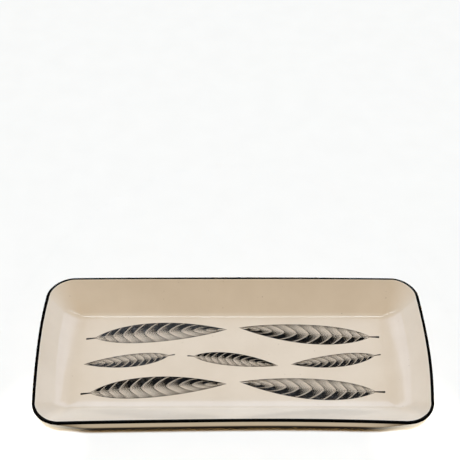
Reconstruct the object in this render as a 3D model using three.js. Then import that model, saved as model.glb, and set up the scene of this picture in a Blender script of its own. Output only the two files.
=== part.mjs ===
// Rectangular stoneware serving platter: a pressed and fired body with flared walls and a foot ring,
// a cream glaze inside and out, a black band over the lip and seven leaf prints on the floor.
// Millimetres, +Z up. The origin is on the table, under the middle of the platter.
import * as THREE from 'three';

// Plan of the lip's outer edge
const LENGTH = 330.5; // over the middle of the swelling ends, before the lip is rounded
const WIDTH = 161.7; // between the long sides, before they draw in and the lip is rounded
const RIM_CORNER_RADIUS = 22;
const END_BOW = 4.7; // the short ends swell out by this at their middle
const SIDE_BOW = 1.3; // the long sides draw in by this at their middle
const RIM_ARCH = 2.8; // the long sides stand higher than the corners by this at their middle

// Walls, floor and foot
const WALL_RISE = 17.8; // from the floor to the sharp corner that the lip is rounded from
const SIDE_WALL_RUN = 30.3; // how far the long walls lean out over that rise
const END_WALL_RUN = 21; // how far the end walls lean out, at the corners
const FLOOR_CORNER_RADIUS = 6;
const SIDE_FILLET = 4; // length of the rounding on each side of the crease at the floor, along the long walls
const END_FILLET = 13; // the same along the end walls, which sweep up more gently
const FLOOR_THICKNESS = 5.4;
const LIP_ROUNDING = 2.8; // how far the rounding of the lip reaches down the upright face
const RIM_FACE = 10.6; // height of the upright outer face, before its edges are rounded
const RIM_FACE_DRAFT = 0.6; // the face leans in by this towards its lower edge
const CORNER_DRAFT = 3; // how much further it leans in at the corners, from the band down
const CORNER_LIFT = 3; // how much higher its lower edge is there
const CORNER_REACH = 45; // distance from the ends and sides at which that begins
const CORNER_INSET = 13; // distance from the ends and sides at which it is complete
const RIM_FACE_ROUNDING = 3; // length of the rounding on each side of the face's lower edge
const FOOT_HEIGHT = 2.6;
const FOOT_WIDTH = 5;
const FOOT_OUTSET = 1.5; // the foot stands outside the crease of the floor by this
const FOOT_ROUNDING = 0.6; // of the foot's two lower edges

// Coats
const GLAZE = 0.4;
const BARE_FOOT = 1.3; // height of the foot that the outside glaze leaves bare
const BAND_INSIDE = 2; // width of the black band inside the lip's outer edge, seen from above
const BAND_OUTSIDE = 3.6; // how far the band reaches down the upright face

// Leaf prints, in three rows that fill the length of the flat of the floor
const LEAVES_IN_ROWS = [2, 3, 2];
const LEAF_MARGIN = 4; // from the outer rows to the long edges of the flat
const LEAF_GAP = 10; // between the leaves of a row
const ROW_GAP = 6; // between the rows
const LEAF_SLENDERNESS = 5.6; // a leaf's length over its width
const LEAF_RISE = 11; // how much higher a tilted leaf's tip is than its stalk
const LEAF_SWEEP = 0.1; // how far a leaf's midrib sweeps to one side, over its width
const LEAF_SWELL = 0.72; // handle that swells the blade near the stalk, over its width
const LEAF_SWELL_AT = 0.2; // place of that handle along the blade
const LEAF_TAPER = 0.62; // handle that draws the blade to its point, over its width
const LEAF_TAPER_AT = 0.66; // place of that handle along the blade
const STALK_SHARE = 0.07; // of a leaf's length
const STALK_WIDTH = 1.5;
const INK = 0.15;

// Facets round each corner, along the sides and over the roundings
const CORNER_STEPS = 8;
const LONG_STEPS = 10;
const END_STEPS = 5;
const LIP_STEPS = 6;
const FILLET_STEPS = 4;
const FACE_EDGE_STEPS = 3;
const LEAF_STEPS = 10;

const floorTop = FOOT_HEIGHT + FLOOR_THICKNESS;
const rimHalfLength = LENGTH / 2 - END_BOW;
const rimHalfWidth = WIDTH / 2;
const creaseHalfLength = rimHalfLength - END_WALL_RUN;
const creaseHalfWidth = rimHalfWidth - SIDE_WALL_RUN;

// Plan of a rounded rectangle as [x, y] points, counter-clockwise seen from above
function roundedRectangle(halfLength, halfWidth, radius) {
  const corners = [[1, 1], [-1, 1], [-1, -1], [1, -1]].map(([signX, signY], quarter) => {
    const centreX = signX * (halfLength - radius);
    const centreY = signY * (halfWidth - radius);
    return Array.from({ length: CORNER_STEPS + 1 }, (_, step) => {
      const angle = (Math.PI / 2) * (quarter + step / CORNER_STEPS);
      return [centreX + radius * Math.cos(angle), centreY + radius * Math.sin(angle)];
    });
  });
  return corners.flatMap((arc, quarter) => {
    const [fromX, fromY] = arc[CORNER_STEPS];
    const [toX, toY] = corners[(quarter + 1) % corners.length][0];
    const steps = quarter % 2 === 0 ? LONG_STEPS : END_STEPS;
    const side = Array.from({ length: steps - 1 }, (_, step) => {
      const share = (step + 1) / steps;
      return [THREE.MathUtils.lerp(fromX, toX, share), THREE.MathUtils.lerp(fromY, toY, share)];
    });
    return [...arc, ...side];
  });
}

// Which way the rim faces at each point of a line, seen from above, and how near that is to a corner
const outward = roundedRectangle(1, 1, 1);
const cornerTaper = roundedRectangle(rimHalfLength, rimHalfWidth, RIM_CORNER_RADIUS).map(([x, y]) => {
  const { smoothstep } = THREE.MathUtils;
  const byLength = smoothstep(Math.abs(x), rimHalfLength - CORNER_REACH, rimHalfLength - CORNER_INSET);
  const byWidth = smoothstep(Math.abs(y), rimHalfWidth - CORNER_REACH, rimHalfWidth - CORNER_INSET);
  return byLength * byWidth;
});

// One closed line round the platter. A flat line has none of the rim's bow and arch, a warped one all of it.
function flatLine(halfLength, halfWidth, radius, height) {
  return roundedRectangle(halfLength, halfWidth, radius).map(([x, y]) => new THREE.Vector3(x, y, height));
}

function warpedLine(halfLength, halfWidth, radius, height) {
  return roundedRectangle(halfLength, halfWidth, radius).map(([x, y]) => {
    const nearMiddleOfEnd = 1 - (y / halfWidth) ** 2;
    const nearMiddleOfSide = 1 - (x / halfLength) ** 2;
    return new THREE.Vector3(
      x * (1 + (END_BOW * nearMiddleOfEnd) / halfLength),
      y * (1 - (SIDE_BOW * nearMiddleOfSide) / halfWidth),
      height + RIM_ARCH * nearMiddleOfSide,
    );
  });
}

// The line part of the way from one line to another
function between(from, to, share) {
  return from.map((point, i) => point.clone().lerp(to[i], share));
}

// The line that lies a distance away from one line towards another, measured straight, or squarely inwards
// as seen from above
function towards(from, to, distance) {
  return from.map((point, i) => point.clone().lerp(to[i], distance / point.distanceTo(to[i])));
}

function inwardsInPlan(from, to, distance) {
  return from.map((point, i) => {
    const [outX, outY] = outward[i];
    const run = (point.x - to[i].x) * outX + (point.y - to[i].y) * outY;
    return point.clone().lerp(to[i], distance / run);
  });
}

// The lines of a rounding that leaves one line, turns at a sharp corner line and ends at another line
function rounding(from, corner, to, steps) {
  return Array.from({ length: steps + 1 }, (_, step) => {
    const share = step / steps;
    return between(between(from, corner, share), between(corner, to, share), share);
  });
}

// The same lines moved into the surface that they span. The surface faces left of its lines, going outwards.
function sunk(lines, depth) {
  return lines.map((line, j) => line.map((point, i) => {
    const before = line.at(i - 1);
    const after = line[(i + 1) % line.length];
    const along = point.clone().sub(before).normalize().add(after.clone().sub(point).normalize());
    const normal = new THREE.Vector3();
    for (const [from, to] of [[lines[j - 1], line], [line, lines[j + 1]]]) {
      if (from && to) {
        normal.add(to[i].clone().sub(from[i]).cross(along).normalize());
      }
    }
    return point.clone().addScaledVector(normal.normalize(), -depth);
  }));
}

// A closed surface through lines that all have the same number of points. Each four-sided patch is cut along
// its shorter diagonal, so that two coats that share lines also share facets. A ring closes on its first
// line; a slab is closed by a flat lid on its first line and another on its last.
function surface(lines, isSlab) {
  const count = lines[0].length;
  const points = lines.flat();
  const triangles = [];
  const patches = isSlab ? lines.length - 1 : lines.length;
  for (let j = 0; j < patches; j += 1) {
    const row = j * count;
    const nextRow = ((j + 1) % lines.length) * count;
    for (let i = 0; i < count; i += 1) {
      const after = (i + 1) % count;
      const [a, b, c, d] = [row + i, row + after, nextRow + after, nextRow + i];
      if (points[a].distanceTo(points[c]) < points[b].distanceTo(points[d])) {
        triangles.push(a, d, c, a, c, b);
      } else {
        triangles.push(a, d, b, b, d, c);
      }
    }
  }
  if (isSlab) {
    const lastRow = (lines.length - 1) * count;
    const firstCentre = points.push(new THREE.Vector3(0, 0, lines[0][0].z)) - 1;
    const lastCentre = points.push(new THREE.Vector3(0, 0, lines.at(-1)[0].z)) - 1;
    for (let i = 0; i < count; i += 1) {
      const after = (i + 1) % count;
      triangles.push(firstCentre, i, after, lastCentre, lastRow + after, lastRow + i);
    }
  }
  const geometry = new THREE.BufferGeometry();
  geometry.setAttribute('position', new THREE.Float32BufferAttribute(points.flatMap((p) => p.toArray()), 3));
  geometry.setIndex(triangles);
  geometry.computeVertexNormals();
  return geometry;
}

const ringSolid = (lines) => surface(lines, false);
const slabSolid = (lines) => surface(lines, true);

function finish(color, roughness) {
  return new THREE.MeshStandardMaterial({ color, roughness, metalness: 0 });
}

const platter = new THREE.Group();

function add(name, geometry, material) {
  const mesh = new THREE.Mesh(geometry, material);
  mesh.name = name;
  platter.add(mesh);
  return mesh;
}

// Lines of the finished outside, from the floor over the lip to the foot. The lip is rounded from the sharp
// corner of the leaning wall and the upright face, and the crease from the corner of the wall and the floor.
const lipCorner = warpedLine(rimHalfLength, rimHalfWidth, RIM_CORNER_RADIUS, floorTop + WALL_RISE);
const crease = flatLine(creaseHalfLength, creaseHalfWidth, FLOOR_CORNER_RADIUS, floorTop);
const flatHalfLength = creaseHalfLength - END_FILLET;
const flatHalfWidth = creaseHalfWidth - SIDE_FILLET;
const flatEdge = flatLine(flatHalfLength, flatHalfWidth, FLOOR_CORNER_RADIUS - SIDE_FILLET, floorTop);
const flatMiddle = between(flatEdge, flatEdge.map(() => new THREE.Vector3(0, 0, floorTop)), 1 / 2);
const filletTop = crease.map((point, i) => {
  const fillet = THREE.MathUtils.lerp(SIDE_FILLET, END_FILLET, outward[i][0] ** 2);
  return point.clone().lerp(lipCorner[i], fillet / point.distanceTo(lipCorner[i]));
});
const bandTop = inwardsInPlan(lipCorner, crease, BAND_INSIDE);

const plainFoot = warpedLine(
  rimHalfLength - RIM_FACE_DRAFT,
  rimHalfWidth - RIM_FACE_DRAFT,
  RIM_CORNER_RADIUS - RIM_FACE_DRAFT,
  floorTop + WALL_RISE - RIM_FACE,
);
const faceFoot = plainFoot.map((point, i) => {
  const [outX, outY] = outward[i];
  const pull = new THREE.Vector3(-outX * CORNER_DRAFT, -outY * CORNER_DRAFT, CORNER_LIFT);
  return point.clone().addScaledVector(pull, cornerTaper[i]);
});
const bandFoot = towards(lipCorner, plainFoot, BAND_OUTSIDE);
const faceEdge = towards(faceFoot, bandFoot, RIM_FACE_ROUNDING);
const footHalfLength = creaseHalfLength + FOOT_OUTSET;
const footHalfWidth = creaseHalfWidth + FOOT_OUTSET;
const footRadius = FLOOR_CORNER_RADIUS + FOOT_OUTSET;
const footLine = (inset, height) => flatLine(
  footHalfLength - inset,
  footHalfWidth - inset,
  footRadius - inset,
  height,
);
const footTop = footLine(0, FOOT_HEIGHT);
const glazeEnd = footLine(0, BARE_FOOT);

const innerLines = [
  flatMiddle,
  ...rounding(flatEdge, crease, filletTop, FILLET_STEPS),
  between(filletTop, bandTop, 1 / 2),
  bandTop,
];
const bandLines = [
  ...rounding(bandTop, lipCorner, towards(lipCorner, plainFoot, LIP_ROUNDING), LIP_STEPS),
  bandFoot,
];
const outerLines = [
  bandFoot,
  ...rounding(faceEdge, faceFoot, towards(faceFoot, footTop, RIM_FACE_ROUNDING), FACE_EDGE_STEPS),
  footTop,
  glazeEnd,
];

// The clay lies under the coats by their thickness
const outside = [...innerLines, ...bandLines.slice(1), ...outerLines.slice(1)];
const clay = sunk(outside, GLAZE);
const bandStart = innerLines.length - 1;
const bandEnd = bandStart + bandLines.length - 1;
const coat = (first, last) => [...outside.slice(first, last + 1), ...clay.slice(first, last + 1).reverse()];

// Underside of the foot, from its outer edge to the ceiling of the recess
const footUnderside = [
  footLine(GLAZE, FOOT_ROUNDING),
  footLine(GLAZE + FOOT_ROUNDING, 0),
  footLine(FOOT_WIDTH - FOOT_ROUNDING, 0),
  footLine(FOOT_WIDTH, FOOT_ROUNDING),
];
const recessGlazeEdge = footLine(FOOT_WIDTH, FOOT_HEIGHT - GLAZE);
const recessEdge = footLine(FOOT_WIDTH, FOOT_HEIGHT);

const creamGlaze = '#dacec0';
add(
  'stoneware_body',
  slabSolid([...clay, ...footUnderside, recessGlazeEdge, recessEdge]),
  finish('#cbb595', 0.85),
);
add('inner_glaze', slabSolid(coat(0, bandStart)), finish(creamGlaze, 0.15));
add('rim_band', ringSolid(coat(bandStart, bandEnd)), finish('#0b0b0b', 0.2));
add('outer_glaze', ringSolid(coat(bandEnd, outside.length - 1)), finish(creamGlaze, 0.15));
add('foot_recess_glaze', slabSolid([recessEdge, recessGlazeEdge]), finish(creamGlaze, 0.15));

// One leaf, lying along X about its middle: a stalk, then a blade that swells and ends in a point
function leafOutline(length, width) {
  const stalk = length * STALK_SHARE;
  const blade = length - stalk;
  const halfStalk = STALK_WIDTH / 2;
  const swellX = stalk + blade * LEAF_SWELL_AT;
  const taperX = stalk + blade * LEAF_TAPER_AT;
  const swellY = width * LEAF_SWELL;
  const taperY = width * LEAF_TAPER;
  const outline = new THREE.Shape();
  outline.moveTo(0, -halfStalk);
  outline.lineTo(stalk, -halfStalk);
  outline.bezierCurveTo(swellX, -swellY, taperX, -taperY, length, 0);
  outline.bezierCurveTo(taperX, taperY, swellX, swellY, stalk, halfStalk);
  outline.lineTo(0, halfStalk);
  outline.closePath();
  const swept = outline.getPoints(LEAF_STEPS).map(({ x, y }) => {
    const sweep = width * LEAF_SWEEP * (Math.sin((Math.PI * x) / length) - 1 / 2);
    return new THREE.Vector2(x - length / 2, y + sweep);
  });
  return new THREE.Shape(swept.slice(0, -1));
}

// The rows lie one behind the other, from the front. Leaves point left and right in turn, tilted one way and
// the other, and the prints come in three strengths of ink.
const inks = ['#17181b', '#2b2e35', '#474d59'];
const rowHeight = (2 * (flatHalfWidth - LEAF_MARGIN) - (LEAVES_IN_ROWS.length - 1) * ROW_GAP)
  / LEAVES_IN_ROWS.length;
let printed = 0;
LEAVES_IN_ROWS.forEach((leaves, row) => {
  const length = (2 * flatHalfLength - (leaves - 1) * LEAF_GAP) / leaves;
  const width = Math.min(length / LEAF_SLENDERNESS, rowHeight);
  const y = (row - (LEAVES_IN_ROWS.length - 1) / 2) * (rowHeight + ROW_GAP);
  for (let leaf = 0; leaf < leaves; leaf += 1) {
    const outline = leafOutline(length, width);
    const print = add(
      `leaf_print_${printed + 1}`,
      new THREE.ExtrudeGeometry(outline, { depth: INK, bevelEnabled: false, steps: 1 }),
      finish(inks[printed % inks.length], 0.25),
    );
    const pointsLeft = (row + leaf) % 2 === 1;
    const tilt = Math.asin(LEAF_RISE / length) * (leaf % 2 === 0 ? 1 : -1);
    print.position.set((leaf - (leaves - 1) / 2) * (length + LEAF_GAP), y, floorTop);
    print.rotation.z = tilt + (pointsLeft ? Math.PI : 0);
    printed += 1;
  }
});

export default platter;
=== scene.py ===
import math

import bmesh
import bpy
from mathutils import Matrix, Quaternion, Vector


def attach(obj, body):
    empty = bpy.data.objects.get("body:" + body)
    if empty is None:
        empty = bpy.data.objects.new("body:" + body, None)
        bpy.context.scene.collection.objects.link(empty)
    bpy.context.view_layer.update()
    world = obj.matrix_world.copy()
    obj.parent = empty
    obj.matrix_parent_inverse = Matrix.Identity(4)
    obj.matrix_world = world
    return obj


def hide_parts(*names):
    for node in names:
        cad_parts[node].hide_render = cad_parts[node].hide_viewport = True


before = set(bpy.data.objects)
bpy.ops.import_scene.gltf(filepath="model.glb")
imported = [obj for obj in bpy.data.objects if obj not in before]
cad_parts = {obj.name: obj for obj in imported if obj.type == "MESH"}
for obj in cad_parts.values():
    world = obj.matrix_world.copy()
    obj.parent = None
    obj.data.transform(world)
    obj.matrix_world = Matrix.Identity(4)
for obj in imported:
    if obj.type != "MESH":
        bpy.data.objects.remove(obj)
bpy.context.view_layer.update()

# Stoneware body
# A slab of buff stoneware pressed over a mould: flat floor, flared walls, an upright face below the lip and
# a low foot ring. It is fired before it is glazed, and only the bottom of the foot is left bare.
MM = 0.001
RIM_HALF_LENGTH = 160.55 * MM
RIM_HALF_WIDTH = 80.85 * MM
RIM_CORNER_RADIUS = 22 * MM
RIM_HEIGHT = 25.8 * MM  # of the sharp corner that the lip is rounded from
END_BOW = 4.7 * MM
SIDE_BOW = 1.3 * MM
RIM_ARCH = 2.8 * MM
FLOOR_HALF_LENGTH = 139.55 * MM  # of the crease, before it is rounded
FLOOR_HALF_WIDTH = 50.55 * MM
FLOOR_CORNER_RADIUS = 6 * MM
FLOOR_HEIGHT = 8 * MM
SIDE_FILLET = 4 * MM
FRONT_FILLET = 10 * MM  # of the floor alone, which sweeps up more gently towards the front
END_FILLET = 13 * MM
FACE_DRAFT = 0.6 * MM
FACE_FOOT_HEIGHT = 15.2 * MM
CORNER_DRAFT = 3 * MM  # how much further the face leans in at the corners, from the band down
CORNER_LIFT = 3 * MM  # how much higher its lower edge is there
CORNER_REACH = 45 * MM  # distance from the ends and sides at which that begins
CORNER_INSET = 13 * MM  # distance from the ends and sides at which it is complete
FACE_ROUNDING = 3 * MM
FOOT_HALF_LENGTH = 141.05 * MM
FOOT_HALF_WIDTH = 52.05 * MM
FOOT_CORNER_RADIUS = 7.5 * MM
FOOT_HEIGHT = 2.6 * MM
FOOT_WIDTH = 5 * MM
FOOT_ROUNDING = 0.6 * MM
BARE_FOOT = 1.3 * MM
GLAZE = 0.4 * MM
BAND_INSIDE = 2 * MM
BAND_LEFT_EXTRA = 0.8 * MM  # how much wider it is painted inside the left end, the right end and the back
BAND_RIGHT_EXTRA = 0.5 * MM
BAND_BACK_EXTRA = 0.2 * MM
BAND_OUTSIDE = 3.6 * MM
LIP_ROUNDING = 2.8 * MM
HIGHLIGHT_EDGE = 1.3 * MM  # width of the pale line of painted highlight that ends at the band
BAND_WAVER = 0.22 * MM  # how far the hand-painted edges of the band stray
RIM_DRIFT = 0.28 * MM  # how far the lip has moved in the kiln
INNER_PHASE = 2.0  # of the waver along the band's inner edge, in radians
OUTER_PHASE = 4.0
CORNER_STEPS = 48
LONG_STEPS = 30
END_STEPS = 15
STATIONS = 4 * CORNER_STEPS + 2 * LONG_STEPS + 2 * END_STEPS
FILLET_STEPS = 20
WALL_STEPS = 6
LIP_STEPS = 14
FACE_EDGE_STEPS = 10
SMOOTH_ANGLE = math.radians(50)  # sharper edges stay sharp


# Points round a rectangle with rounded corners, the same number on every line of the platter
def plan(half_length, half_width, radius):
    arcs = []
    for quarter, (sign_x, sign_y) in enumerate(((1, 1), (-1, 1), (-1, -1), (1, -1))):
        centre = Vector((sign_x * (half_length - radius), sign_y * (half_width - radius), 0))
        angles = [math.pi / 2 * (quarter + step / CORNER_STEPS) for step in range(CORNER_STEPS + 1)]
        arcs.append([centre + Vector((math.cos(a), math.sin(a), 0)) * radius for a in angles])
    points = []
    for quarter, arc in enumerate(arcs):
        steps = LONG_STEPS if quarter % 2 == 0 else END_STEPS
        ahead = arcs[(quarter + 1) % len(arcs)][0]
        points += arc
        points += [arc[-1].lerp(ahead, step / steps) for step in range(1, steps)]
    return points


# How far a hand-held brush strays, from -1 to 1, on its way round
def waver(station, phase):
    turn = math.tau * station / STATIONS
    slow = 0.5 * math.sin(3 * turn + phase) + 0.3 * math.sin(8 * turn + 2 * phase)
    return slow + 0.2 * math.sin(19 * turn)


outward = plan(1, 1, 1)


# The same points at a height, with the bows, the arch and the drift of the lip as far as warp lets them
def line(half_length, half_width, radius, height, warp=0.0):
    points = []
    for flat, way in zip(plan(half_length, half_width, radius), outward):
        near_end = warp * (1 - (flat.y / half_width) ** 2)
        near_side = warp * (1 - (flat.x / half_length) ** 2)
        turn = math.atan2(flat.y / half_width, flat.x / half_length)
        drift = RIM_DRIFT * warp * (math.cos(3 * turn) - math.sin(4 * turn))
        points.append(way * drift + Vector((
            flat.x * (1 + END_BOW * near_end / half_length),
            flat.y * (1 - SIDE_BOW * near_side / half_width),
            height + RIM_ARCH * near_side,
        )))
    return points


def smooth(share):
    share = min(max(share, 0), 1)
    return share * share * (3 - 2 * share)


def between(start, end, share):
    return [a.lerp(b, share) for a, b in zip(start, end)]


def towards(start, end, distance):
    return [a + (b - a).normalized() * distance for a, b in zip(start, end)]


# Lines that take the place of a sharp corner
def rounding(start, corner, end, steps):
    shares = [step / steps for step in range(steps + 1)]
    return [between(between(start, corner, s), between(corner, end, s), s) for s in shares]


lip = line(RIM_HALF_LENGTH, RIM_HALF_WIDTH, RIM_CORNER_RADIUS, RIM_HEIGHT, 1.0)
crease = line(FLOOR_HALF_LENGTH, FLOOR_HALF_WIDTH, FLOOR_CORNER_RADIUS, FLOOR_HEIGHT)
flat_edge = line(
    FLOOR_HALF_LENGTH - END_FILLET,
    FLOOR_HALF_WIDTH - (SIDE_FILLET + FRONT_FILLET) / 2,
    FLOOR_CORNER_RADIUS - SIDE_FILLET,
    FLOOR_HEIGHT,
)
flat_edge = [a + Vector((0, (FRONT_FILLET - SIDE_FILLET) / 2, 0)) for a in flat_edge]
flat_middle = between(flat_edge, [Vector((0, 0, FLOOR_HEIGHT))] * STATIONS, 0.5)
fillet_top = []
for a, b, way in zip(crease, lip, outward):
    fillet = SIDE_FILLET + (END_FILLET - SIDE_FILLET) * way.x ** 2
    fillet_top.append(a + (b - a).normalized() * fillet)
band_top = []
for station, (a, b, way) in enumerate(zip(lip, crease, outward)):
    width = BAND_INSIDE + BAND_WAVER * waver(station, INNER_PHASE)
    width += (BAND_LEFT_EXTRA if way.x < 0 else BAND_RIGHT_EXTRA) * way.x ** 2
    width += BAND_BACK_EXTRA * max(0, way.y) ** 2
    band_top.append(a.lerp(b, width / (a - b).dot(way)))
plain_foot = line(
    RIM_HALF_LENGTH - FACE_DRAFT,
    RIM_HALF_WIDTH - FACE_DRAFT,
    RIM_CORNER_RADIUS - FACE_DRAFT,
    FACE_FOOT_HEIGHT,
    1.0,
)
face_foot = []
band_foot = []
corner_run = CORNER_REACH - CORNER_INSET
for station, flat in enumerate(plan(RIM_HALF_LENGTH, RIM_HALF_WIDTH, RIM_CORNER_RADIUS)):
    by_length = smooth((abs(flat.x) - RIM_HALF_LENGTH + CORNER_REACH) / corner_run)
    by_width = smooth((abs(flat.y) - RIM_HALF_WIDTH + CORNER_REACH) / corner_run)
    pull = Vector((0, 0, CORNER_LIFT)) - outward[station] * CORNER_DRAFT
    face_foot.append(plain_foot[station] + pull * by_length * by_width)
    down = (plain_foot[station] - lip[station]).normalized()
    depth = BAND_OUTSIDE + BAND_WAVER * waver(station, OUTER_PHASE)
    band_foot.append(lip[station] + down * depth)
face_edge = towards(face_foot, band_foot, FACE_ROUNDING)


def foot_line(inset, height):
    radius = FOOT_CORNER_RADIUS - inset
    return line(FOOT_HALF_LENGTH - inset, FOOT_HALF_WIDTH - inset, radius, height)


inside_lines = [
    flat_middle,
    *rounding(flat_edge, crease, fillet_top, FILLET_STEPS),
    *[between(fillet_top, band_top, step / WALL_STEPS) for step in range(1, WALL_STEPS)],
    towards(band_top, fillet_top, HIGHLIGHT_EDGE),
    band_top,
]
lip_end = towards(lip, plain_foot, LIP_ROUNDING)
band_lines = [*rounding(band_top, lip, lip_end, LIP_STEPS), band_foot]
foot_top = foot_line(0, FOOT_HEIGHT)
face_end = towards(face_foot, foot_top, FACE_ROUNDING)
outside_lines = [
    band_foot,
    *rounding(face_edge, face_foot, face_end, FACE_EDGE_STEPS),
    *[between(face_end, foot_top, step / WALL_STEPS) for step in range(1, WALL_STEPS + 1)],
    foot_line(0, BARE_FOOT),
]
foot_lines = [
    foot_line(GLAZE, FOOT_ROUNDING),
    foot_line(GLAZE + FOOT_ROUNDING, 0),
    foot_line(FOOT_WIDTH - FOOT_ROUNDING, 0),
    foot_line(FOOT_WIDTH, FOOT_ROUNDING),
    foot_line(FOOT_WIDTH, FOOT_HEIGHT),
]


# Extrudes the open edge of a piece along the lines, one ring for each
def extend(piece, lines):
    for points in lines:
        bpy.ops.mesh.extrude_edges_move()
        shape = bmesh.from_edit_mesh(piece.data)
        order = shape.verts.layers.int["station"]
        for vertex in shape.verts:
            if vertex.select:
                vertex.co = points[vertex[order]]
    bmesh.update_edit_mesh(piece.data)


def draw(name, lines, lid):
    bpy.ops.object.select_all(action="DESELECT")
    bpy.ops.mesh.primitive_circle_add(vertices=STATIONS, fill_type="NGON" if lid else "NOTHING")
    piece = bpy.context.object
    piece.name = name
    piece.data.name = name
    bpy.ops.object.mode_set(mode="EDIT")
    shape = bmesh.from_edit_mesh(piece.data)
    order = shape.verts.layers.int.new("station")
    for station, vertex in enumerate(shape.verts):
        vertex[order] = station
        vertex.co = lines[0][station]
    extend(piece, lines[1:])
    return piece


# Turns the faces of an open skin to one side
def set_facing(piece, upwards):
    bpy.ops.mesh.select_all(action="SELECT")
    bpy.ops.mesh.normals_make_consistent(inside=False)
    shape = bmesh.from_edit_mesh(piece.data)
    shape.normal_update()
    lift = sum(part.normal.z * part.calc_area() for part in shape.faces)
    if (lift > 0) != upwards:
        bpy.ops.mesh.flip_normals()


def close(piece):
    bpy.ops.mesh.select_all(action="SELECT")
    bpy.ops.mesh.normals_make_consistent(inside=False)
    bpy.ops.object.mode_set(mode="OBJECT")
    bpy.ops.object.shade_smooth_by_angle(angle=SMOOTH_ANGLE)


body = draw("platter_body", inside_lines + band_lines[1:] + outside_lines[1:], True)
set_facing(body, True)
bpy.ops.transform.shrink_fatten(value=-GLAZE)
bpy.ops.mesh.select_all(action="DESELECT")
bpy.ops.mesh.select_non_manifold()
extend(body, foot_lines)
bpy.ops.mesh.edge_face_add()
close(body)


def start_material(name):
    material = bpy.data.materials.new(name)
    material.use_nodes = True
    return material, material.node_tree, material.node_tree.nodes["Principled BSDF"]


def add_node(tree, kind, **values):
    node = tree.nodes.new(kind)
    for socket, value in values.items():
        node.inputs[socket.replace("_", " ")].default_value = value
    return node


def add_range(tree, value, low, high, to=(0, 1)):
    span = add_node(tree, "ShaderNodeMapRange", From_Min=low, From_Max=high, To_Min=to[0], To_Max=to[1])
    tree.links.new(value, span.inputs["Value"])
    return span.outputs["Result"]


def add_mix(tree, factor, first, second):
    mix = tree.nodes.new("ShaderNodeMix")
    mix.data_type = "RGBA"
    tree.links.new(factor, mix.inputs["Factor"])
    for name, value in (("A", first), ("B", second)):
        socket = [s for s in mix.inputs if s.name == name and s.type == "RGBA"][0]
        if isinstance(value, tuple):
            socket.default_value = (*value, 1)
        else:
            tree.links.new(value, socket)
    return [s for s in mix.outputs if s.type == "RGBA"][0]


def add_product(tree, first, second):
    product = tree.nodes.new("ShaderNodeMath")
    product.operation = "MULTIPLY"
    tree.links.new(first, product.inputs[0])
    tree.links.new(second, product.inputs[1])
    return product.outputs["Value"]


def add_bump(tree, height, strength, distance):
    bump = add_node(tree, "ShaderNodeBump", Strength=strength, Distance=distance)
    tree.links.new(height, bump.inputs["Height"])
    return bump


# Every surface here is uneven: noise, a mask from Low to High of it, and a roughness that follows it
uneven = bpy.data.node_groups.new("uneven_surface", "ShaderNodeTree")
for name, usual in (
    ("Scale", 1),
    ("Detail", 2),
    ("Grain", 0.5),
    ("Low", 0),
    ("High", 1),
    ("Smooth", 0),
    ("Rough", 1),
):
    socket = uneven.interface.new_socket(name, in_out="INPUT", socket_type="NodeSocketFloat")
    socket.default_value = usual
for name in ("Noise", "Mask", "Roughness"):
    uneven.interface.new_socket(name, in_out="OUTPUT", socket_type="NodeSocketFloat")
given = uneven.nodes.new("NodeGroupInput").outputs
made = uneven.nodes.new("NodeGroupOutput").inputs
place = uneven.nodes.new("ShaderNodeTexCoord").outputs["Object"]
noise = uneven.nodes.new("ShaderNodeTexNoise")
mask = uneven.nodes.new("ShaderNodeMapRange")
polish = add_node(uneven, "ShaderNodeMapRange", From_Min=0.3, From_Max=0.7)
for source, target in (
    (place, noise.inputs["Vector"]),
    (given["Scale"], noise.inputs["Scale"]),
    (given["Detail"], noise.inputs["Detail"]),
    (given["Grain"], noise.inputs["Roughness"]),
    (noise.outputs["Fac"], made["Noise"]),
    (noise.outputs["Fac"], mask.inputs["Value"]),
    (given["Low"], mask.inputs["From Min"]),
    (given["High"], mask.inputs["From Max"]),
    (mask.outputs["Result"], made["Mask"]),
    (noise.outputs["Fac"], polish.inputs["Value"]),
    (given["Smooth"], polish.inputs["To Min"]),
    (given["Rough"], polish.inputs["To Max"]),
    (polish.outputs["Result"], made["Roughness"]),
):
    uneven.links.new(source, target)


def add_uneven(tree, **values):
    node = tree.nodes.new("ShaderNodeGroup")
    node.node_tree = uneven
    for socket, value in values.items():
        node.inputs[socket].default_value = value
    return node.outputs


CLAY = (0.50, 0.36, 0.22)
CLAY_DARK = (0.34, 0.22, 0.12)
GRIT = (0.13, 0.08, 0.045)
clay, tree, shader = start_material("buff_stoneware")
patches = add_uneven(tree, Scale=60, Detail=4, Low=0.35, High=0.7)
grains = add_uneven(tree, Scale=1400, Detail=3, Grain=0.7, Low=0.66, High=0.72, Smooth=0.75, Rough=0.95)
colour = add_mix(tree, grains["Mask"], add_mix(tree, patches["Mask"], CLAY, CLAY_DARK), GRIT)
bump = add_bump(tree, grains["Noise"], strength=0.5, distance=0.15 * MM)
tree.links.new(colour, shader.inputs["Base Color"])
tree.links.new(grains["Roughness"], shader.inputs["Roughness"])
tree.links.new(bump.outputs["Normal"], shader.inputs["Normal"])
body.data.materials.append(clay)
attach(body, "root")
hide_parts("stoneware_body")

# Cream glaze
# A glossy cream glaze poured over the fired clay, inside and out and under the floor. It runs thin on the
# outside of the walls, where the clay warms it, and its faces turned down are darkened with painted shade.
# A painted highlight runs as a pale line along the band, and the glaze has a few iron specks.
CREAM = (0.76, 0.645, 0.52)
CREAM_PALE = (0.80, 0.685, 0.56)
# The warm colour of the thin coat, also used as painted shade on the faces that turn down
CREAM_THIN_SHADED = (0.42, 0.28, 0.15)
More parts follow.
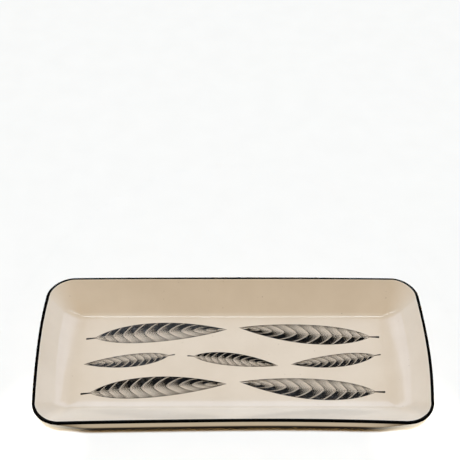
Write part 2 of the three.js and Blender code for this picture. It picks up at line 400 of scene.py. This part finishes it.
# The pale colour of a painted highlight along the band's inner edge
CREAM_HIGHLIGHT = (0.9, 0.82, 0.7)
SPECK = (0.25, 0.15, 0.07)
PAINTED_HIGHLIGHT = -0.6  # below 0 a pale painted highlight, above 0 a thin warm coat, with painted shade on faces turned down
THIN_AT_RIM = 0.08
THIN_FACE = 0.05
THIN_SHADE_LEAN = 0.1  # how far a wall faces down before its coat runs thin and painted shade darkens it
THIN_SHADE_GAIN = 2
THIN_SHADE_UNDER = 0.95


def coat(piece, upwards, thin_shade_highlight_at):
    set_facing(piece, upwards)
    bpy.ops.object.mode_set(mode="OBJECT")
    layer = piece.data.attributes.new("thin", "FLOAT", "POINT")
    for vertex in piece.data.vertices:
        layer.data[vertex.index].value = thin_shade_highlight_at(vertex)
    skin = piece.modifiers.new("thickness", "SOLIDIFY")
    skin.thickness = GLAZE
    skin.offset = -1
    bpy.ops.object.modifier_apply(modifier=skin.name)
    bpy.ops.object.shade_smooth_by_angle(angle=SMOOTH_ANGLE)


glaze, tree, shader = start_material("cream_gloss_glaze")
thin = tree.nodes.new("ShaderNodeAttribute")
thin.attribute_name = "thin"
cloud = add_uneven(tree, Scale=28, Detail=4, Grain=0.55, Low=0.35, High=0.65)
cream = add_mix(tree, cloud["Mask"], CREAM, CREAM_PALE)
# A painted highlight where the attribute is below 0
highlight_share = add_range(tree, thin.outputs["Fac"], low=-1, high=0, to=(1, 0))
runs = add_uneven(tree, Scale=70, Detail=4)
patchy = add_range(tree, runs["Noise"], low=0.3, high=0.7, to=(0.75, 1.05))
# Thin warm coat where the attribute is above 0, with painted shade on the faces turned down
thin_and_shade = add_product(tree, thin.outputs["Fac"], patchy)
warm = add_mix(tree, thin_and_shade, add_mix(tree, highlight_share, cream, CREAM_HIGHLIGHT), CREAM_THIN_SHADED)
cells = add_node(tree, "ShaderNodeTexVoronoi", Scale=230, Randomness=1.0)
place = tree.nodes.new("ShaderNodeTexCoord").outputs["Object"]
tree.links.new(place, cells.inputs["Vector"])
near = add_range(tree, cells.outputs["Distance"], low=0.05, high=0.11, to=(1, 0))
chosen = tree.nodes.new("ShaderNodeSeparateColor")
tree.links.new(cells.outputs["Color"], chosen.inputs["Color"])
few = add_range(tree, chosen.outputs["Red"], low=0.0, high=0.16, to=(0.75, 0))
speck = add_product(tree, near, few)
gloss = add_uneven(tree, Scale=90, Smooth=0.07, Rough=0.13)
swell = add_bump(tree, add_uneven(tree, Scale=26, Detail=1)["Noise"], strength=0.3, distance=0.6 * MM)
peel = add_bump(tree, add_uneven(tree, Scale=330)["Noise"], strength=0.12, distance=0.1 * MM)
tree.links.new(swell.outputs["Normal"], peel.inputs["Normal"])
tree.links.new(add_mix(tree, speck, warm, SPECK), shader.inputs["Base Color"])
tree.links.new(gloss["Roughness"], shader.inputs["Roughness"])
tree.links.new(peel.outputs["Normal"], shader.inputs["Normal"])
shader.inputs["IOR"].default_value = 1.52


# A painted highlight on the ring at the band, and a slightly thinner coat towards the rim
def thin_rim_and_highlight(vertex):
    at_band = vertex.index >= len(vertex.id_data.vertices) - STATIONS
    if at_band:
        return PAINTED_HIGHLIGHT
    rise = (vertex.co.z - FLOOR_HEIGHT) / (RIM_HEIGHT - FLOOR_HEIGHT)
    return THIN_AT_RIM * max(rise, 0) ** 3


# Faces turned down get a thinner, warmer coat and painted shade
def thin_and_shade_outside(vertex):
    lean = max(-vertex.normal.z - THIN_SHADE_LEAN, 0)
    return THIN_FACE + min(lean * THIN_SHADE_GAIN, THIN_SHADE_UNDER)


well = draw("well_glaze", inside_lines, True)
coat(well, True, thin_rim_and_highlight)
outer = draw("outside_glaze", outside_lines, False)
coat(outer, False, thin_and_shade_outside)
recess_lines = [foot_line(FOOT_WIDTH, FOOT_HEIGHT), foot_line(FOOT_WIDTH, FOOT_HEIGHT - GLAZE)]
under = draw("recess_glaze", recess_lines, True)
bpy.ops.mesh.edge_face_add()
close(under)
under.data.attributes.new("thin", "FLOAT", "POINT")
for piece, node in (
    (well, "inner_glaze"),
    (outer, "outer_glaze"),
    (under, "foot_recess_glaze"),
):
    piece.data.materials.append(glaze)
    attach(piece, "root")
    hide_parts(node)

# Rim band
# A black glaze brushed by hand over the lip, while the platter turns on a wheel. Its edges waver a little,
# and it goes brown where the brush left it thin.
BLACK = (0.0015, 0.0013, 0.0012)
BLACK_THIN = (0.010, 0.006, 0.004)
band = draw("black_rim_band", band_lines, False)
coat(band, True, lambda vertex: 0.0)
black, tree, shader = start_material("black_gloss_glaze")
brush = add_uneven(tree, Scale=120, Detail=5, Grain=0.6, Low=0.5, High=0.8, Smooth=0.14, Rough=0.3)
bump = add_bump(tree, brush["Noise"], strength=0.25, distance=0.15 * MM)
tree.links.new(add_mix(tree, brush["Mask"], BLACK, BLACK_THIN), shader.inputs["Base Color"])
tree.links.new(brush["Roughness"], shader.inputs["Roughness"])
tree.links.new(bump.outputs["Normal"], shader.inputs["Normal"])
shader.inputs["Specular IOR Level"].default_value = 0.25
band.data.materials.append(black)
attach(band, "root")
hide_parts("rim_band")

# Leaf prints
# Seven leaves printed from an engraved plate and fired on: fine strokes that follow the side veins, close
# together on the shaded half and open on the lit half. The transfers come in three strengths of ink.
LEAF_LENGTH = 121.55 * MM
LEAF_WIDTH = 21.71 * MM
SMALL_LEAF_LENGTH = 77.70 * MM
STALK_LENGTH = 0.07 * LEAF_LENGTH
STALK_WIDTH = 1.5 * MM
STALK_FLARE = 1.3
STALK_TAPER = 0.6
STALK_ROWS = 6
SWELL = (0.2, 0.72)  # what pulls the outline out: its share of the blade's length, and of the leaf's width
TAPER = (0.66, 0.62)  # what draws it in to the point
SWEEP = 0.1 * LEAF_WIDTH
INK = 0.06 * MM
VEINS = 11
STROKES = 7
STROKE_ROWS = 6
FIRST_VEIN = 0.012
LAST_VEIN = 0.93
VEIN_SLANT = 0.05  # how far forward a side vein runs on its way out near the stalk, as a share of the blade
VEIN_SLANT_GAIN = 0.09  # how much further it does near the point
VEIN_CURVE = 1.4
SHADED_COVER = 0.62
LIT_COVER = 0.42
PALE_VEIN = 0.3  # cover of the stroke that is left thin along each vein of the shaded half
DARK_VEIN = 0.8  # cover of the stroke that draws each vein of the lit half
BLADE_END = 0.999  # strokes stop just before the point, which has no width
OUTLINE = 0.5 * MM
OUTLINE_TAPER = 0.6
OUTLINE_ROWS = 48
LIT_OUTLINE = 0.7  # width of the outline on the lit half, over that on the shaded half
MIDRIB = 0.9 * MM
MIDRIB_TAPER = 0.8
MIDRIB_REACH = 0.97
MIDRIB_ROWS = 40
INKED_MIDRIB = 0.45  # share of the midrib that is inked, on the lit half: the rest is left blank
LEAST_REACH = 0.01 * MM


def bezier(a, b, c, d, t):
    s = 1 - t
    return a * s ** 3 + 3 * b * s * s * t + 3 * c * s * t * t + d * t ** 3


def leaf_x(u):
    blade = LEAF_LENGTH - STALK_LENGTH
    swell = STALK_LENGTH + blade * SWELL[0]
    taper = STALK_LENGTH + blade * TAPER[0]
    return bezier(STALK_LENGTH, swell, taper, LEAF_LENGTH, u)


def leaf_half_width(u):
    return bezier(STALK_WIDTH / 2, LEAF_WIDTH * SWELL[1], LEAF_WIDTH * TAPER[1], 0, u)


def leaf_point(x, y):
    sweep = SWEEP * (math.sin(math.pi * x / LEAF_LENGTH) - 0.5)
    return Vector((x - LEAF_LENGTH / 2, y + sweep, 0))


# Raised strokes: a grid whose blank columns are cut out, and whose points go where spot puts them
def engrave(columns, rows, spot, blank):
    bpy.ops.object.select_all(action="DESELECT")
    bpy.ops.mesh.primitive_grid_add(x_subdivisions=columns, y_subdivisions=rows, size=2)
    strokes = bpy.context.object
    bpy.ops.object.mode_set(mode="EDIT")
    bpy.ops.mesh.select_all(action="DESELECT")
    shape = bmesh.from_edit_mesh(strokes.data)
    for cell in shape.faces:
        cell.select = blank(int((cell.calc_center_median().x + 1) / 2 * columns))
    bmesh.update_edit_mesh(strokes.data)
    bpy.ops.mesh.delete(type="FACE")
    shape = bmesh.from_edit_mesh(strokes.data)
    for vertex in shape.verts:
        column = round((vertex.co.x + 1) / 2 * columns)
        row = round((vertex.co.y + 1) / 2 * rows)
        vertex.co = spot(column, row / rows)
    bmesh.update_edit_mesh(strokes.data)
    bpy.ops.mesh.select_all(action="SELECT")
    bpy.ops.mesh.extrude_region_move(TRANSFORM_OT_translate={"value": (0, 0, INK)})
    bpy.ops.mesh.select_all(action="SELECT")
    bpy.ops.mesh.normals_make_consistent(inside=False)
    bpy.ops.object.mode_set(mode="OBJECT")
    return strokes


# The strokes of one half of the leaf, in groups that each start at a side vein
def hatch(side, coverage):
    count = VEINS * STROKES
    pitch = (LAST_VEIN - FIRST_VEIN) / count
    start = MIDRIB * (1 - INKED_MIDRIB if side > 0 else INKED_MIDRIB)

    def spot(column, v):
        stroke = column // 2
        root = FIRST_VEIN + pitch * (stroke + 0.5)
        slant = VEIN_SLANT + VEIN_SLANT_GAIN * root
        half = pitch / 2 * coverage(v, stroke % STROKES / (STROKES - 1))
        u = min(root + slant * v ** VEIN_CURVE + (half if column % 2 else -half), BLADE_END)
        inner = start * (1 - MIDRIB_TAPER * u)
        reach = max(leaf_half_width(u) - OUTLINE * (1 - OUTLINE_TAPER * u) - inner, LEAST_REACH)
        return leaf_point(leaf_x(u), side * (inner + reach * v))

    return engrave(2 * count - 1, STROKE_ROWS, spot, lambda column: column % 2 == 1)


# Share of the spacing that a stroke covers, by its place from the midrib out (v) and from vein to vein (g)
def shaded_half(v, g):
    if g == 0:
        return PALE_VEIN
    cover = SHADED_COVER + 0.75 * v + 0.5 * (g - 0.5)
    return min(max(cover, 0.2), 1.0)


def lit_half(v, g):
    if g == 1:
        return DARK_VEIN - 0.3 * v
    cover = LIT_COVER + 0.35 * v ** 4 - 0.12 * math.sin(math.pi * v) + 0.4 * (g - 0.5)
    return min(max(cover, 0.08), 1.0)


def edge_line(side):
    def spot(column, v):
        u = v * BLADE_END
        half = leaf_half_width(u)
        width = min(OUTLINE * (1 - OUTLINE_TAPER * u), half) * (1.0 if side > 0 else LIT_OUTLINE)
        return leaf_point(leaf_x(u), side * (half - width * column))
    return engrave(1, OUTLINE_ROWS, spot, lambda column: False)


def midrib(column, v):
    x = STALK_LENGTH + (LEAF_LENGTH - STALK_LENGTH) * MIDRIB_REACH * v
    return leaf_point(x, -MIDRIB * INKED_MIDRIB * (1 - MIDRIB_TAPER * v) * column)


def stalk(column, v):
    return leaf_point(STALK_LENGTH * v, STALK_WIDTH * (column - 0.5) * (STALK_FLARE - STALK_TAPER * v))


strokes = [
    hatch(1, shaded_half),
    hatch(-1, lit_half),
    edge_line(1),
    edge_line(-1),
    engrave(1, MIDRIB_ROWS, midrib, lambda column: False),
    engrave(1, STALK_ROWS, stalk, lambda column: False),
]
bpy.ops.object.select_all(action="DESELECT")
for stroke in strokes:
    stroke.select_set(True)
bpy.context.view_layer.objects.active = strokes[0]
bpy.ops.object.join()
leaf = bpy.context.object

INKS = (
    ("black_print_ink", "black_ink", (0.0022, 0.0021, 0.0021), (0.008, 0.0077, 0.0075)),
    ("charcoal_print_ink", "charcoal_ink", (0.0085, 0.0083, 0.0085), (0.022, 0.0215, 0.022)),
    ("slate_print_ink", "slate_ink", (0.030, 0.030, 0.032), (0.062, 0.062, 0.066)),
)
inks = []
for name, slot, full, starved in INKS:
    material, tree, shader = start_material(name)
    press = add_uneven(tree, Scale=150, Detail=4, Grain=0.6, Low=0.4, High=0.7, Smooth=0.16, Rough=0.3)
    bump = add_bump(tree, add_uneven(tree, Scale=900)["Noise"], strength=0.2, distance=0.05 * MM)
    tree.links.new(add_mix(tree, press["Mask"], full, starved), shader.inputs["Base Color"])
    tree.links.new(press["Roughness"], shader.inputs["Roughness"])
    tree.links.new(bump.outputs["Normal"], shader.inputs["Normal"])
    inks.append((material, slot))

ROW_SPACING = 30.37 * MM
LARGE_ROW = (-65.78 * MM, 65.78 * MM)
SMALL_ROW = (-87.70 * MM, 0.0, 87.70 * MM)
LARGE_TILT = math.radians(5.19)
SMALL_TILT = math.radians(8.14)
ROWS = (
    (-ROW_SPACING, LARGE_ROW, 1.0, LARGE_TILT),
    (0.0, SMALL_ROW, SMALL_LEAF_LENGTH / LEAF_LENGTH, SMALL_TILT),
    (ROW_SPACING, LARGE_ROW, 1.0, LARGE_TILT),
)
printed = 0
for row, (y, middles, scale, tilt) in enumerate(ROWS):
    for number, x in enumerate(middles):
        bpy.ops.object.select_all(action="DESELECT")
        leaf.select_set(True)
        bpy.context.view_layer.objects.active = leaf
        bpy.ops.object.duplicate(linked=False)
        print_copy = bpy.context.object
        print_copy.name = f"leaf_engraving_{printed + 1}"
        print_copy.data.name = print_copy.name
        turn = (tilt if number % 2 == 0 else -tilt) + (math.pi if (row + number) % 2 else 0)
        print_copy.scale = (scale, scale, 1)
        print_copy.rotation_euler = (0, 0, turn)
        print_copy.location = (x, y, FLOOR_HEIGHT)
        bpy.ops.object.transform_apply(location=True, rotation=True, scale=True)
        material, slot = inks[printed % len(inks)]
        print_copy.data.materials.append(material)
        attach(print_copy, "root")
        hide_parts(f"leaf_print_{printed + 1}")
        printed += 1
bpy.data.objects.remove(leaf)

# Table
# A table top covered with plain white paper, which is slightly rough. It fills the picture, and the platter
# stands free on it.
TABLE_SIZE = 6
PAPER = (0.90, 0.90, 0.90)
PAPER_PALE = (0.93, 0.93, 0.93)
bpy.ops.object.select_all(action="DESELECT")
bpy.ops.mesh.primitive_plane_add(size=TABLE_SIZE)
table = bpy.context.object
table.name = "white_table"
paper, tree, shader = start_material("white_table_top")
fibre = add_uneven(tree, Scale=40, Detail=3, Smooth=0.55, Rough=0.65)
tree.links.new(add_mix(tree, fibre["Noise"], PAPER, PAPER_PALE), shader.inputs["Base Color"])
tree.links.new(fibre["Roughness"], shader.inputs["Roughness"])
table.data.materials.append(paper)

# Light
# Soft studio light: fill panels that leave no glint, and a window, panes and a strip that show only in the
# gloss. Two suns and a small glow at each front corner light the table alone, and it throws no light back.
WORLD_STRENGTH = 0.02
LAMP_DISTANCE = 1.6
PANEL = (0.9, 0.4)
PANE_HEIGHT = 0.3
PANE_BLUE = (0.8, 0.88, 1)
SUN_SOFTNESS = math.radians(6)
GLOW_CONE = math.radians(2.3)
GLOW_BLEND = 0.75
GLOW_RADIUS = 0.02
GLOW_Y = -0.075
world = bpy.data.worlds.new("studio")
bpy.context.scene.world = world
world.use_nodes = True
sky = world.node_tree.nodes["Background"]
sky.inputs["Color"].default_value = (1, 1, 1, 1)
sky.inputs["Strength"].default_value = WORLD_STRENGTH


def collect(name, pieces):
    group = bpy.data.collections.new(name)
    for piece in pieces:
        group.objects.link(piece)
    return group


platter = [piece for piece in bpy.data.objects if piece.type == "MESH" and piece != table]
all_pieces = collect("platter_pieces", platter)
inside = collect("inside", [piece for piece in platter if piece != outer])
table_top = collect("table_top", [table])
outside = collect("outside", [outer])
well_only = collect("well_only", [well])
table.visible_glossy = False
table.visible_diffuse = False


def aim(name, kind, azimuth, elevation, power, colour, lights, in_gloss=False, at=Vector(), roll=0):
    turn, rise = math.radians(azimuth), math.radians(elevation)
    ahead, across = -math.cos(turn) * math.cos(rise), math.sin(turn) * math.cos(rise)
    way = Vector((across, ahead, math.sin(rise)))
    light = bpy.data.lights.new(name, kind)
    light.energy = power
    light.color = colour
    lamp = bpy.data.objects.new(name, light)
    bpy.context.scene.collection.objects.link(lamp)
    lamp.location = at + way * LAMP_DISTANCE
    facing = way.to_track_quat("Z", "Y") @ Quaternion((0, 0, 1), math.radians(roll))
    lamp.rotation_euler = facing.to_euler()
    lamp.light_linking.receiver_collection = lights
    lamp.visible_glossy = in_gloss
    lamp.visible_diffuse = not in_gloss
    return light


def panel(name, azimuth, elevation, size, power, colour, lights, in_gloss=False, roll=0):
    light = aim(name, "AREA", azimuth, elevation, power, colour, lights, in_gloss, roll=roll)
    light.shape = "RECTANGLE"
    light.size, light.size_y = size


for name, azimuth, elevation, size, power, colour, lights in (
    ("top_panel", 0, 89.5, (0.9, 0.5), 17.8, (1, 0.94, 0.82), all_pieces),
    ("back_left_panel", -122, 20, PANEL, 19, (0.53, 0.7, 0.95), inside),
    ("back_right_panel", 122, 20, PANEL, 18, (0.5, 0.68, 0.95), inside),
    ("front_panel", 0, 25, PANEL, 2.5, (1, 0.73, 0.37), all_pieces),
    ("apron_panel", 0, 38, PANEL, 19.5, (1, 1, 0.9), outside),
    ("apron_left_panel", -122, 20, PANEL, 13, (1, 0.95, 0.86), outside),
    ("apron_right_panel", 122, 20, PANEL, 13, (1, 0.95, 0.86), outside),
):
    panel(name, azimuth, elevation, size, power, colour, lights)

panel(
    "back_window",
    azimuth=180,
    elevation=37,
    size=(2.2, 0.52),
    power=7.2,
    colour=(0.64, 0.74, 1),
    lights=well_only,
    in_gloss=True,
)
for name, side in (("left", -1), ("right", 1)):
    for pane, azimuth, elevation, width, power, roll in (
        ("low_pane", 134.5, 22, 0.3, 0.2, 0),
        ("thin_pane", 138.7, 29.4, 0.06, 0.05, 59),
        ("wide_pane", 149.5, 40.8, 0.17, 0.085, 48),
        ("soft_pane", 159, 45.6, 0.27, 0.1, 34),
    ):
        panel(
            f"{name}_{pane}",
            side * azimuth,
            elevation,
            (width, PANE_HEIGHT),
            power,
            PANE_BLUE,
            lights=well_only,
            in_gloss=True,
            roll=side * roll,
        )
panel(
    "back_strip",
    azimuth=180,
    elevation=72,
    size=(1.9, 0.2),
    power=8.7,
    colour=(0.8, 0.92, 1),
    lights=all_pieces,
    in_gloss=True,
)

for name, elevation, power, colour in (
    ("table_light", 63, 3.63, (0.82, 0.918, 1)),
    ("table_glow", 58, 0.85, (1, 0.6, 0.2)),
):
    sun = aim(name, "SUN", 0, elevation, power, colour, table_top)
    sun.angle = SUN_SOFTNESS
for name, x in (("left_corner_glow", -0.160), ("right_corner_glow", 0.154)):
    glow = aim(
        name,
        "SPOT",
        azimuth=0,
        elevation=40,
        power=160,
        colour=(1, 0.9, 0.72),
        lights=table_top,
        at=Vector((x, GLOW_Y, 0)),
    )
    glow.spot_size = GLOW_CONE
    glow.spot_blend = GLOW_BLEND
    glow.shadow_soft_size = GLOW_RADIUS

# Camera
# A long lens a little over a metre away, looking down on the platter from the front. It is aimed behind the
# platter, which so lies low in the picture.
FOCAL_LENGTH = 101.8
SENSOR_WIDTH = 36
CAMERA_PLACE = (-0.00235, -0.7225, 0.8501)
CAMERA_TILT = math.radians(46.34)
lens = bpy.data.cameras.new("camera")
lens.lens = FOCAL_LENGTH
lens.sensor_width = SENSOR_WIDTH
camera = bpy.data.objects.new("camera", lens)
bpy.context.scene.collection.objects.link(camera)
camera.location = CAMERA_PLACE
camera.rotation_euler = (CAMERA_TILT, 0, 0)
bpy.context.scene.camera = camera
bpy.context.scene.view_settings.view_transform = "Standard"
